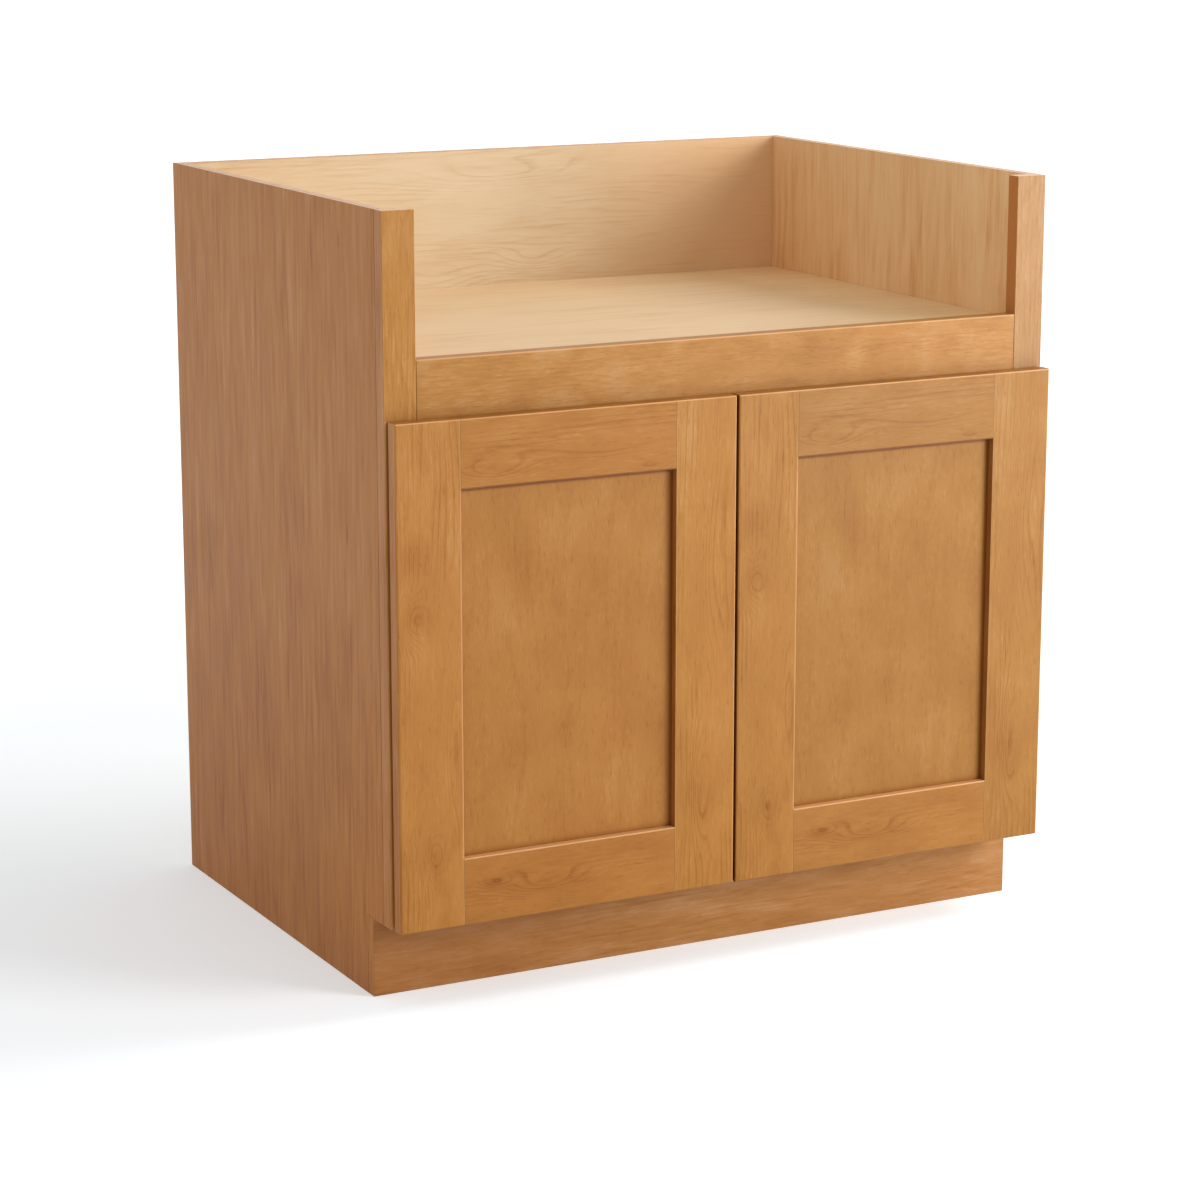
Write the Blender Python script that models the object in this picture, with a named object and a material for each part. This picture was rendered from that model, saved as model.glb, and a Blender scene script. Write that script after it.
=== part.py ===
"""Farmhouse sink base cabinet: a face-frame box with a low apron rail, a sink deck and two doors.

X runs left to right, Y from front to back and Z up, in metres.
The pieces are made from the front plane of the face frame, at Y 0. At the end the whole cabinet moves
so that its origin lies on the floor under its middle.
"""
import math

import bmesh
import bpy
from mathutils import Vector

# Overall box
width = 0.8382
depth = 0.6096
height = 0.8763

# Clearance between pieces that touch
fit = 0.0003

# Carcass boards
side_thickness = 0.0127
back_thickness = 0.0127
floor_thickness = 0.0127
deck_thickness = 0.019
deck_top = 0.7065
joint_depth = 0.00635
cleat_thickness = 0.019
cleat_height = 0.038

# Toe kick
toe_height = 0.0915
toe_setback = 0.0480
toe_board_thickness = 0.0150

# Face frame
frame_thickness = 0.01905
stile_width = 0.0381
apron_rail_top = 0.7170
bottom_rail_height = 0.0381
tenon_thickness = 0.0080
tenon_length = 0.0127
tenon_shoulder = 0.0080

# Doors
door_thickness = 0.01905
door_top = 0.6540
door_lap = 0.0254
door_reveal = 0.0024
door_gap = 0.0032
door_member_width = 0.0762
panel_thickness = 0.00635
panel_recess = 0.0095
panel_groove_depth = 0.0095
panel_play = 0.0010
door_edge_radius = 0.0020

# Bumpers, which set the gap behind the doors
bumper_gap = 0.0035
bumper_radius = 0.0048
bumper_inset = 0.0127

# Hinges: distance of each from the door's end, and the cup
hinge_end_distance = 0.0762
cup_radius = 0.0175
cup_depth = 0.0132
cup_wall = 0.0010
cup_edge_distance = 0.0050
flange_thickness = 0.0012
flange_lip = 0.0020
wing_radius = 0.0060
wing_spacing = 0.0450
wing_offset = 0.0095
screw_hole_radius = 0.0018

# Hinge pin, held in two bosses inside the cup
pin_radius = 0.0012
pin_edge_distance = 0.0092
pin_depth = 0.0088
pin_length = 0.0176
boss_reach = 0.0034
boss_inner = 0.0050
boss_outer = 0.0096

# Hinge arm: an eye round the pin, a strap out of the cup and a plate on the stile's edge
arm_thickness = 0.0016
arm_height = 0.0090
arm_drop = 0.0018
arm_bend_radius = 0.0040
eye_radius = 0.0024
eye_height = 0.0080
plate_height = 0.0440
plate_depth = 0.0165
plate_hole_spacing = 0.0300

# Eased edges, and the sides of round pieces and bends
edge_ease = 0.0007
edge_segments = 2
round_sides = 48
small_sides = 16
bend_steps = 6

# Colours as RGBA, with roughness and metallic value
stained_wood = ((0.520, 0.245, 0.075, 1.0), 0.42, 0.0)
bare_wood = ((0.720, 0.500, 0.270, 1.0), 0.50, 0.0)
nickel_steel = ((0.600, 0.590, 0.570, 1.0), 0.28, 1.0)
clear_rubber = ((0.780, 0.780, 0.760, 1.0), 0.55, 0.0)

# Worked out from the sizes above
half_width = width / 2
side_inner = half_width - side_thickness
stile_inner = half_width - stile_width
back_front = depth - back_thickness
floor_top = toe_height + bottom_rail_height
deck_bottom = deck_top - deck_thickness
door_back = -bumper_gap
door_front = door_back - door_thickness
door_bottom = toe_height
door_middle = (door_bottom + door_top) / 2
apron_rail_bottom = door_top - door_lap
notch_back = toe_setback + toe_board_thickness + fit
pin_x = half_width - door_reveal - pin_edge_distance
pin_y = door_back - pin_depth
hinge_heights = (("lower", door_bottom + hinge_end_distance), ("upper", door_top - hinge_end_distance))


def clear_scene():
    for obj in list(bpy.data.objects):
        bpy.data.objects.remove(obj, do_unlink=True)


def material(name, finish):
    """A Principled material with one colour, roughness and metallic value."""
    colour, roughness, metallic = finish
    mat = bpy.data.materials.new(name)
    mat.use_nodes = True
    shader = mat.node_tree.nodes["Principled BSDF"]
    shader.inputs["Base Color"].default_value = colour
    shader.inputs["Roughness"].default_value = roughness
    shader.inputs["Metallic"].default_value = metallic
    mat.diffuse_color = colour
    return mat


def add_object(name, bm, finish=None, origin=(0, 0, 0)):
    """Turn a bmesh in world coordinates into an object whose origin lies at the given point."""
    bmesh.ops.recalc_face_normals(bm, faces=bm.faces[:])
    bmesh.ops.translate(bm, verts=bm.verts[:], vec=-Vector(origin))
    mesh = bpy.data.meshes.new(name)
    bm.to_mesh(mesh)
    bm.free()
    obj = bpy.data.objects.new(name, mesh)
    obj.location = origin
    bpy.context.collection.objects.link(obj)
    if finish:
        mesh.materials.append(material(name, finish))
    return obj


def box_mesh(low, high):
    """A box between two corners."""
    bm = bmesh.new()
    bmesh.ops.create_cube(bm, size=1.0)
    for vert in bm.verts:
        for axis in range(3):
            vert.co[axis] = low[axis] if vert.co[axis] < 0 else high[axis]
    return bm


def prism_mesh(outline, axis, start, end):
    """An outline of (first, second) points, extruded along an axis; the two others keep X, Y, Z order."""
    bm = bmesh.new()
    verts = []
    for first, second in outline:
        point = [first, second]
        point.insert(axis, start)
        verts.append(bm.verts.new(point))
    face = bm.faces.new(verts)
    moved = bmesh.ops.extrude_face_region(bm, geom=[face])
    step = Vector((0, 0, 0))
    step[axis] = end - start
    bmesh.ops.translate(bm, verts=[v for v in moved["geom"] if isinstance(v, bmesh.types.BMVert)], vec=step)
    return bm


def circle(centre, radius, sides=round_sides):
    """Points of a circle in the plane of an outline."""
    steps = [2 * math.pi * i / sides for i in range(sides)]
    return [(centre[0] + radius * math.cos(a), centre[1] + radius * math.sin(a)) for a in steps]


def cutter(name, bm, origin=(0, 0, 0)):
    """An object that only shapes another one."""
    obj = add_object(name, bm, origin=origin)
    obj.hide_render = True
    obj.display_type = "WIRE"
    return obj


def shape(obj, tool, operation):
    """Cut, or join, an object with a tool by a Boolean modifier."""
    boolean = obj.modifiers.new(tool.name, "BOOLEAN")
    boolean.operation = operation
    boolean.solver = "EXACT"
    boolean.object = tool


def cut_box(obj, name, low, high):
    shape(obj, cutter(name, box_mesh(low, high)), "DIFFERENCE")


def join_box(obj, name, low, high):
    shape(obj, cutter(name, box_mesh(low, high)), "UNION")


def cut_round(obj, name, centre, radius, axis, start, end):
    shape(obj, cutter(name, prism_mesh(circle(centre, radius), axis, start, end)), "DIFFERENCE")


def ease(obj, amount=edge_ease):
    """Round the arrises of a board."""
    bevel = obj.modifiers.new("eased edges", "BEVEL")
    bevel.width = amount
    bevel.segments = edge_segments
    bevel.limit_method = "ANGLE"


def board(name, low, high, finish, origin=None):
    """A plain board with eased edges; its origin is its middle unless it moves."""
    middle = [(a + b) / 2 for a, b in zip(low, high)]
    obj = add_object(name, box_mesh(low, high), finish, origin or middle)
    ease(obj)
    return obj


def across(side, near, far):
    """An X range on one side of the cabinet, lowest first; side is -1 at the left and 1 at the right."""
    return sorted((side * near, side * far))


def side_panel(name, side):
    """A plywood side: toe notch, groove for the cupboard floor and rabbet for the back."""
    front = frame_thickness + fit
    outline = [(notch_back, 0), (depth, 0), (depth, height), (front, height)]
    outline += [(front, toe_height), (notch_back, toe_height)]
    inner, outer = side_inner, half_width
    start, end = across(side, inner, outer)
    panel = add_object(name, prism_mesh(outline, 0, start, end), stained_wood)
    cut_start, cut_end = across(side, inner - fit, inner + joint_depth)
    cut_box(panel, name + " floor groove",
            (cut_start, 0, floor_top - floor_thickness - fit), (cut_end, depth, floor_top + fit))
    cut_box(panel, name + " back rabbet",
            (cut_start, back_front - fit, -fit), (cut_end, depth + fit, height + fit))


def carcass():
    """Sides, back, cupboard floor, sink deck with its cleats, and the toe-kick board."""
    side_panel("left_side_panel", -1)
    side_panel("right_side_panel", 1)
    housed = side_inner + joint_depth - fit
    board("back_panel", (-housed, back_front, 0), (housed, depth, height), bare_wood)
    front = frame_thickness + fit
    rear = back_front - fit
    board("floor_panel", (-housed, front, floor_top - floor_thickness), (housed, rear, floor_top), bare_wood)
    clear = side_inner - fit
    board("sink_deck", (-clear, front, deck_bottom), (clear, rear, deck_top), bare_wood)
    cleat_top = deck_bottom - fit
    cleat_bottom = cleat_top - cleat_height
    for name, start in (("front_cleat", front), ("back_cleat", rear - cleat_thickness)):
        end = start + cleat_thickness
        board(name, (-clear, start, cleat_bottom), (clear, end, cleat_top), bare_wood)
    run_start = front + cleat_thickness + fit
    run_end = rear - cleat_thickness - fit
    for name, side in (("left_cleat", -1), ("right_cleat", 1)):
        start, end = across(side, clear - cleat_thickness, clear)
        board(name, (start, run_start, cleat_bottom), (end, run_end, cleat_top), bare_wood)
    board("toe_kick_board", (-half_width, toe_setback, 0),
          (half_width, toe_setback + toe_board_thickness, toe_height - fit), stained_wood)


def rail_tenon(bottom, top):
    """Y and Z limits of the stub tenon on a rail of the face frame."""
    middle = frame_thickness / 2
    return ((middle - tenon_thickness / 2, bottom + tenon_shoulder),
            (middle + tenon_thickness / 2, top - tenon_shoulder))


def face_frame():
    """Two stiles and two rails, joined by stub tenons in mortises."""
    rails = (("apron_rail", apron_rail_bottom, apron_rail_top),
             ("bottom_rail", toe_height, floor_top))
    shoulder = stile_inner - fit
    for name, bottom, top in rails:
        rail = board(name, (-shoulder, 0, bottom), (shoulder, frame_thickness, top), stained_wood)
        (front, low), (back, high) = rail_tenon(bottom, top)
        for side, word in ((-1, "left"), (1, "right")):
            start, end = across(side, shoulder - tenon_shoulder, stile_inner + tenon_length - fit)
            join_box(rail, f"{name} {word} tenon", (start, front, low), (end, back, high))
    for name, side in (("left_stile", -1), ("right_stile", 1)):
        start, end = across(side, stile_inner, half_width)
        stile = board(name, (start, 0, toe_height), (end, frame_thickness, height), stained_wood)
        for rail_name, bottom, top in rails:
            (front, low), (back, high) = rail_tenon(bottom, top)
            start, end = across(side, stile_inner - tenon_length, stile_inner + tenon_length)
            cut_box(stile, f"{name} {rail_name} mortise",
                    (start, front - fit, low - fit), (end, back + fit, high + fit))


class Door:
    """One door, with names and X positions for its side of the cabinet."""

    def __init__(self, word, side):
        self.word = word
        self.side = side
        self.axis = bpy.data.objects.new(f"{word}_door_axis", None)
        self.axis.location = (side * pin_x, pin_y, door_middle)
        bpy.context.collection.objects.link(self.axis)
        self.outer = half_width - door_reveal
        self.inner = door_gap / 2

    def hang(self, obj):
        """Hang a piece on the door's axis, where it stands."""
        obj.parent = self.axis
        obj.matrix_parent_inverse = self.axis.matrix_basis.inverted()

    def origin(self):
        return tuple(self.axis.location)


def grooved_outline(edge, far, groove_y, groove_depth):
    """A member's section as (along, y) points: grooved at edge, plain at far."""
    inward = groove_depth if far > edge else -groove_depth
    floor = edge + inward
    front, back = groove_y
    return [(edge, door_front), (far, door_front), (far, door_back), (edge, door_back),
            (edge, back), (floor, back), (floor, front), (edge, front)]


def door_woodwork(door):
    """Two stiles, two rails with tongues, and a flat panel that floats in their grooves."""
    panel_front = door_front + panel_recess
    panel_y = (panel_front, panel_front + panel_thickness)
    groove_y = (panel_y[0] - fit, panel_y[1] + fit)
    groove = panel_groove_depth
    hinge_edge = door.outer - door_member_width
    lock_edge = door.inner + door_member_width
    members = (("hinge_stile", hinge_edge, door.outer), ("lock_stile", lock_edge, door.inner))
    stiles = {}
    for name, edge, far in members:
        outline = [(door.side * x, y) for x, y in grooved_outline(edge, far, groove_y, groove)]
        full_name = f"{door.word}_door_{name}"
        stile_mesh = prism_mesh(outline, 2, door_bottom, door_top)
        stile = add_object(full_name, stile_mesh, stained_wood, door.origin())
        round_perimeter(door, stile)
        stiles[name] = stile
        door.hang(stile)
    rail_start, rail_end = across(door.side, lock_edge + fit, hinge_edge - fit)
    tongue_start, tongue_end = across(door.side, lock_edge - groove + fit, hinge_edge + groove - fit)
    rails = (("bottom_rail", door_bottom + door_member_width, door_bottom),
             ("top_rail", door_top - door_member_width, door_top))
    for name, edge, far in rails:
        outline = [(y, z) for z, y in grooved_outline(edge, far, groove_y, groove)]
        full_name = f"{door.word}_door_{name}"
        rail_mesh = prism_mesh(outline, 0, rail_start, rail_end)
        rail = add_object(full_name, rail_mesh, stained_wood, door.origin())
        round_perimeter(door, rail)
        inner_edge = edge + groove if far > edge else edge - groove
        low, high = sorted((inner_edge, far))
        join_box(rail, full_name + " tongue",
                 (tongue_start, panel_y[0], low), (tongue_end, panel_y[1], high))
        door.hang(rail)
    reach = groove - panel_play
    panel_start, panel_end = across(door.side, lock_edge - reach, hinge_edge + reach)
    panel = add_object(f"{door.word}_door_panel", box_mesh(
        (panel_start, panel_y[0], door_bottom + door_member_width - reach),
        (panel_end, panel_y[1], door_top - door_member_width + reach)), stained_wood, door.origin())
    door.hang(panel)
    return stiles


def round_perimeter(door, obj):
    """Round the arrises that run along the door's outline, on its front and back faces."""
    bm = bmesh.new()
    bm.from_mesh(obj.data)
    outline = ((0, door.side * door.outer), (0, door.side * door.inner), (2, door_bottom), (2, door_top))

    def lies_on(edge, axis, value):
        return all(abs(v.co[axis] + obj.location[axis] - value) < fit for v in edge.verts)

    faces = (door_front, door_back)
    arrises = [edge for edge in bm.edges
               if any(lies_on(edge, 1, y) for y in faces) and any(lies_on(edge, *line) for line in outline)]
    bmesh.ops.bevel(bm, geom=arrises, offset=door_edge_radius, segments=edge_segments,
                    profile=0.5, affect="EDGES")
    bm.to_mesh(obj.data)
    bm.free()


def bumpers(door):
    """Two soft discs on the back of the lock stile, in front of the frame's rails."""
    x = door.side * (door.inner + bumper_inset)
    seats = (("lower", (door_bottom + floor_top) / 2), ("upper", (apron_rail_bottom + door_top) / 2))
    for word, z in seats:
        bm = prism_mesh(circle((x, z), bumper_radius, small_sides), 1, door_back + fit, -fit)
        bumper = add_object(f"{door.word}_door_{word}_bumper", bm, clear_rubber, door.origin())
        door.hang(bumper)


def hinge_cup(door, word, z, cup_x):
    """A pressed cup with a winged flange and two bosses that hold the pin."""
    name = f"{door.word}_{word}_hinge_cup"
    top = door_back + fit
    bottom = door_back - cup_depth + fit
    cup = add_object(name, prism_mesh(circle((cup_x, z), cup_radius), 1, bottom, top + flange_thickness / 2),
                     nickel_steel, door.origin())
    wing_x = cup_x - door.side * wing_offset
    discs = [((cup_x, z), cup_radius + flange_lip)]
    discs += [((wing_x, z + end * wing_spacing / 2), wing_radius) for end in (-1, 1)]
    flange = cutter(name + " flange", prism_mesh(plate_outline(discs), 1, top, top + flange_thickness))
    shape(cup, flange, "UNION")
    cavity = cutter(name + " cavity", prism_mesh(
        circle((cup_x, z), cup_radius - cup_wall), 1, bottom + cup_wall, top + 2 * flange_thickness))
    boss_x = across(door.side, pin_x - boss_reach, pin_x + 2 * boss_reach)
    for side, boss in ((-1, "low"), (1, "high")):
        low, high = sorted((z + side * boss_inner, z + side * boss_outer))
        cut_box(cavity, f"{name} {boss} boss",
                (boss_x[0], bottom, low), (boss_x[1], pin_y + boss_reach, high))
    shape(cup, cavity, "DIFFERENCE")
    reach = pin_length / 2 + fit
    cut_round(cup, name + " pin hole", (door.side * pin_x, pin_y), pin_radius + fit, 2, z - reach, z + reach)
    for side, hole in ((-1, "low"), (1, "high")):
        centre = (wing_x, z + side * wing_spacing / 2)
        cut_round(cup, f"{name} {hole} screw hole", centre, screw_hole_radius, 1,
                  top - fit, top + 2 * flange_thickness)
    door.hang(cup)


def plate_outline(discs):
    """An outline drawn tight round several discs, each a centre and a radius."""
    points = []
    for step in range(round_sides):
        angle = 2 * math.pi * step / round_sides
        along = (math.cos(angle), math.sin(angle))
        reach = [centre[0] * along[0] + centre[1] * along[1] + radius for centre, radius in discs]
        centre, radius = discs[reach.index(max(reach))]
        points.append((centre[0] + radius * along[0], centre[1] + radius * along[1]))
    return points


def strap_outline(side):
    """The arm's section: along the cup's floor, round a bend and up the edge of the stile."""
    inner_x = stile_inner - fit
    outer_x = inner_x - arm_thickness
    floor_y = pin_y - arm_drop - arm_thickness / 2
    ceiling_y = floor_y + arm_thickness
    end_y = plate_depth
    outer_bend = arm_bend_radius + arm_thickness
    centre = (outer_x + outer_bend, floor_y + outer_bend)
    quarter = [math.pi / 2 * i / bend_steps for i in range(bend_steps + 1)]

    def bend(radius):
        return [(centre[0] - radius * math.cos(a), centre[1] - radius * math.sin(a)) for a in quarter]

    points = [(outer_x, end_y)] + bend(outer_bend)
    points += [(pin_x, floor_y), (pin_x, ceiling_y)]
    points += bend(arm_bend_radius)[::-1] + [(inner_x, end_y)]
    return [(side * x, y) for x, y in points]


def hinge_arm(door, word, z):
    """The arm on the frame: an eye on the pin, a bent strap and a plate with two screw holes."""
    name = f"{door.word}_{word}_hinge_arm"
    half = arm_height / 2
    arm = add_object(name, prism_mesh(strap_outline(door.side), 2, z - half, z + half), nickel_steel)
    eye = cutter(name + " eye", prism_mesh(
        circle((door.side * pin_x, pin_y), eye_radius), 2, z - eye_height / 2, z + eye_height / 2))
    shape(arm, eye, "UNION")
    start, end = across(door.side, stile_inner - fit - arm_thickness, stile_inner - fit)
    plate_front = fit + arm_thickness
    half_plate = plate_height / 2
    join_box(arm, name + " plate", (start, plate_front, z - half_plate), (end, plate_depth, z + half_plate))
    cut_round(arm, name + " eye hole", (door.side * pin_x, pin_y), pin_radius + fit, 2,
              z - eye_height, z + eye_height)
    hole_y = (plate_front + plate_depth) / 2
    for side, hole in ((-1, "low"), (1, "high")):
        centre = (hole_y, z + side * plate_hole_spacing / 2)
        cut_round(arm, f"{name} {hole} screw hole", centre, screw_hole_radius, 0,
                  start - arm_thickness, end + arm_thickness)


def hinge_pin(door, word, z):
    """The pin that the door turns on."""
    section = circle((door.side * pin_x, pin_y), pin_radius, small_sides)
    half = pin_length / 2
    pin_mesh = prism_mesh(section, 2, z - half, z + half)
    pin = add_object(f"{door.word}_{word}_hinge_pin", pin_mesh, nickel_steel, door.origin())
    door.hang(pin)


def hinges(door, hinge_stile):
    """Two hinges to a door, each with its bore in the hinge stile."""
    cup_x = door.side * (door.outer - cup_edge_distance - cup_radius)
    for word, z in hinge_heights:
        hinge_cup(door, word, z, cup_x)
        hinge_arm(door, word, z)
        hinge_pin(door, word, z)
        cut_round(hinge_stile, f"{hinge_stile.name} {word} bore", (cup_x, z), cup_radius + fit, 1,
                  door_back - cup_depth, door_back + cup_depth)


def stand_on_origin():
    """Move everything so that the origin is under the middle of the cabinet, doors included."""
    middle = (door_front + depth) / 2
    for obj in bpy.data.objects:
        if obj.parent is None:
            obj.location.y -= middle


def main():
    clear_scene()
    carcass()
    face_frame()
    for word, side in (("left", -1), ("right", 1)):
        door = Door(word, side)
        stiles = door_woodwork(door)
        bumpers(door)
        hinges(door, stiles["hinge_stile"])
    stand_on_origin()


main()
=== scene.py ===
"""Looks for the farmhouse sink base cabinet: stained and bare wood, hinge metal, screws and a studio."""
import math
import random
from dataclasses import dataclass, replace

import bmesh
import bpy
from mathutils import Matrix, Vector


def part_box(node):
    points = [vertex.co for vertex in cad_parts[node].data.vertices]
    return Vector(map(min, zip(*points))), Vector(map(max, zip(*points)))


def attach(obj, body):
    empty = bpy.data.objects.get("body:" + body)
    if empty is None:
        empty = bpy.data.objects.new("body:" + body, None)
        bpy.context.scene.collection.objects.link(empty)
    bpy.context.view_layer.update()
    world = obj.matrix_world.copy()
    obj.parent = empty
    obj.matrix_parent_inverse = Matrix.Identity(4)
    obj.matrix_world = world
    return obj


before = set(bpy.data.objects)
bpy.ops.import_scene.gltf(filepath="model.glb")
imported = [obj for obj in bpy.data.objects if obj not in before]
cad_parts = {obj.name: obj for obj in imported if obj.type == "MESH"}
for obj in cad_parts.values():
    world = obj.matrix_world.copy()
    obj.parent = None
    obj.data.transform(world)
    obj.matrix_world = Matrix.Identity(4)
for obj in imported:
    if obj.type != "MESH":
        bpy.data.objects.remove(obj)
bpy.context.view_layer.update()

# Camera: the point it looks at, its heading left of the cabinet, tilt down, distance, lens, sensor and reach
look_at = Vector((0.0009, 0.0161, 0.3557))
camera_heading = math.radians(27.66)
camera_tilt = math.radians(12.67)
camera_distance = 4.095
camera_lens = 101.52
camera_sensor = 36.0
camera_reach = 200.0

# Lights: lamps by heading right of the front, rise, size and power, their distance and aim, and the room
lamps = (
    ("right lamp", math.radians(80), math.radians(40), 1.3, 39.0),
    ("front lamp", math.radians(38), math.radians(12.5), 1.4, 61.0),
)
lamp_distance = 3.0
lamp_aim = Vector((0.0, 0.0, 0.45))
room_strength = 0.555
seen_strength = 1.0

# Floor: its colour, the white seen on it near the cabinet and far away, where that changes, and its size
floor_colour = (0.900, 0.918, 0.940, 1.0)
floor_glow = (0.913, 0.978, 1.000, 1.0)
floor_white = (0.341, 0.82)
floor_fade = (0.9, 2.6)
floor_radius = 40.0
floor_sides = 96

# Distance from one door to the next, for the same boards in both, and the stiles of each from the left
door_pitch = 0.4183
stile_order = {"left": ("hinge", "lock"), "right": ("lock", "hinge")}

# Hinge sizes that place the screws
wing_inset = 0.0060
wing_offset = 0.0095
plate_hole_rise = 0.0150
plate_hole_inset = 0.0073

# Screws: half an outline as (radius, height), the recess's arm, half width, floor, top and taper, and a seed
screw_profile = (
    (0, 0.00125), (0.0010, 0.00122), (0.0019, 0.00105), (0.0026, 0.00070), (0.0029, 0.00030),
    (0.0030, 0.0), (0.0016, 0.0), (0.0015, -0.0011), (0, -0.0011),
)
screw_turns = 32
recess_size = (0.0015, 0.00034, 0.00045, 0.0020)
recess_taper = 0.7
screw_seed = 7

# Growth lines in every wood: their sway and lean, where they fade, and how dark one is from start to end
sway_size = (0.34, 0.050)
line_lean = 0.4
fade_size = (0.160, 0.028)
fade_span = (0.40, 0.62)
line_profile = ((0.0, 0.0), (0.6, 0.08), (0.9, 1.0), (1.0, 0.0))

# Short flecks in every wood: their size along and across the grain, and the noise of dark and pale ones
speck_size = (0.013, 0.0022)
dark_specks = (0.62, 0.74)
pale_specks = (0.26, 0.38)
pale_speck_share = 0.7

# Height below which the colour gets darker: painted shade towards the floor
foot_shade_reach = 0.75

# Relief of the grain: shares of fine fibres, fibres, pores and lines, and its strength and height
relief_shares = (1.0, 0.6, -0.8, -0.4)
wood_bump = (0.20, 0.0004)

# Uneven lacquer: its size along and across the grain, and the spread of its roughness
uneven_size = (0.05, 0.012)
uneven_spread = 0.16

# Plywood: thickness of its veneer and of one ply, and the part of a ply where its tone turns
veneer = 0.0006
ply = 0.0030
ply_turn = (0.4, 0.6)

# Tones of a plywood edge: the darkest, how much paler a ply and a blotch can be, and a blotch's size
ply_tone = -0.25
ply_contrast = 0.6
ply_blotch = 0.6
ply_patch = 0.02

# How squarely a face has to look along an axis to count a little and fully, and the blur of a limit
facing_span = (0.6, 0.9)
limit_blur = 0.0001

# Stain rubbed off the long arrises of every board: how far in, how strongly, and the size of its patches
rub_reach = 0.0012
rub_share = 0.8
rub_patch = 0.02

# Front arrises with painted highlights, and painted shade under a door's top rail: how far in, the share of
# that at full strength, and its patches
arris_reach = 0.0020
arris_core = 0.4
arris_patch = 0.03

# How strongly arrises get a painted highlight: doors at the top, at the right of each stile and at the sill;
# and the apron
top_highlight = 0.8
first_stile_highlight = 0.4
second_stile_highlight = 0.7
sill_highlight = 0.9
apron_highlight = 0.7

# How strongly the lower arris of a door's top rail gets painted shade
lip_shade = 0.9

# Painted shade on a door's panel near the frame: how far in from the frame, and how strongly
panel_shade_reach = 0.007
panel_shade_share = 0.45

# Painted shadow lines under the top rail and beside the right stile: where each starts, is full, and its
# share
shadow_under_rail = (0.0054, 0.0024, 0.9)
shadow_beside_stile = (0.0050, 0.0012, 0.8)

# How far behind the front of a door the painted shade on its meeting edge starts and is full
meeting_shade_span = (0.0010, 0.0022)

# Width of the painted shade behind a door's outer edge, and shares of the painted warm light on inner edges
# and of the painted sheen on cut ends
gap_shade_reach = 0.0080
edge_light_share = 0.8
top_sheen_share = 0.9


def srgb(red, green, blue):
    """A colour of 0 to 255 as linear RGBA."""
    def linear(value):
        value /= 255
        return value / 12.92 if value <= 0.04045 else ((value + 0.055) / 1.055) ** 2.4
    return (linear(red), linear(green), linear(blue), 1.0)


def grey(value):
    """A linear grey as RGBA."""
    return (value, value, value, 1.0)


@dataclass
class Look:
    """Colours of a wood, the strength of its figure, its sizes along and across the grain, and its finish."""
    dark: tuple
    mid: tuple
    light: tuple
    line_gap: float
    line_depth: float
    sway: float
    fibre_depth: float
    fibre_size: tuple
    blotch_depth: float
    blotch_size: tuple
    pore_depth: float
    # Painted shade: how much darker the colour gets towards the floor
    foot_shade_depth: float
    roughness: float
    gloss: float


@dataclass
class Mark:
    """A knot or a cathedral in the grain: its place and reach, in X, Y, Z, its rings and its darkness."""
    centre: tuple
    reach: tuple
    rings: float
    dark: float


def tinted(look, tint):
    """A look with its colours times a tint."""
    def times(colour):
        return tuple(part * factor for part, factor in zip(colour, (*tint, 1.0)))
    return replace(look, dark=times(look.dark), mid=times(look.mid), light=times(look.light))


def moved(marks, move):
    """The same marks, moved to the right."""
    return [replace(mark, centre=(mark.centre[0] + move, *mark.centre[1:])) for mark in marks]


# Looks of the woods
door_frame_look = Look(
    srgb(134, 76, 4), srgb(167, 110, 46), srgb(192, 146, 98), line_gap=0.0065, line_depth=0.22, sway=3.0,
    fibre_depth=0.28, fibre_size=(0.026, 0.0030), blotch_depth=0.56, blotch_size=(0.100, 0.045),
    pore_depth=0.12, foot_shade_depth=0.10, roughness=0.42, gloss=0.26)
door_panel_look = Look(
    srgb(130, 69, 4), srgb(161, 106, 44), srgb(186, 140, 96), line_gap=0.0160, line_depth=0.06, sway=3.0,
    fibre_depth=0.17, fibre_size=(0.010, 0.0040), blotch_depth=0.50, blotch_size=(0.110, 0.070),
    pore_depth=0.12, foot_shade_depth=0.08, roughness=0.44, gloss=0.26)
face_frame_look = Look(
    srgb(134, 76, 4), srgb(168, 112, 48), srgb(192, 147, 100), line_gap=0.0060, line_depth=0.18, sway=3.0,
    fibre_depth=0.36, fibre_size=(0.034, 0.0030), blotch_depth=0.44, blotch_size=(0.080, 0.034),
    pore_depth=0.18, foot_shade_depth=0.0, roughness=0.42, gloss=0.26)
apron_look = replace(
    face_frame_look, line_depth=0.08, fibre_depth=0.28, fibre_size=(0.020, 0.0032), blotch_depth=0.72,
    blotch_size=(0.060, 0.034), pore_depth=0.12)
left_stile_look = replace(face_frame_look, fibre_depth=0.42, pore_depth=0.13, blotch_depth=0.50)
# The right stile's look is paler and greyer than the left's: a painted sheen of light on the right of the
# front; its gloss is higher too
right_stile_look = Look(
    srgb(138, 86, 18), srgb(164, 119, 70), srgb(184, 146, 110), line_gap=0.0060, line_depth=0.18, sway=3.0,
    fibre_depth=0.40, fibre_size=(0.034, 0.0030), blotch_depth=0.45, blotch_size=(0.080, 0.034),
    pore_depth=0.18, foot_shade_depth=0.0, roughness=0.44, gloss=0.32)
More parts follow.
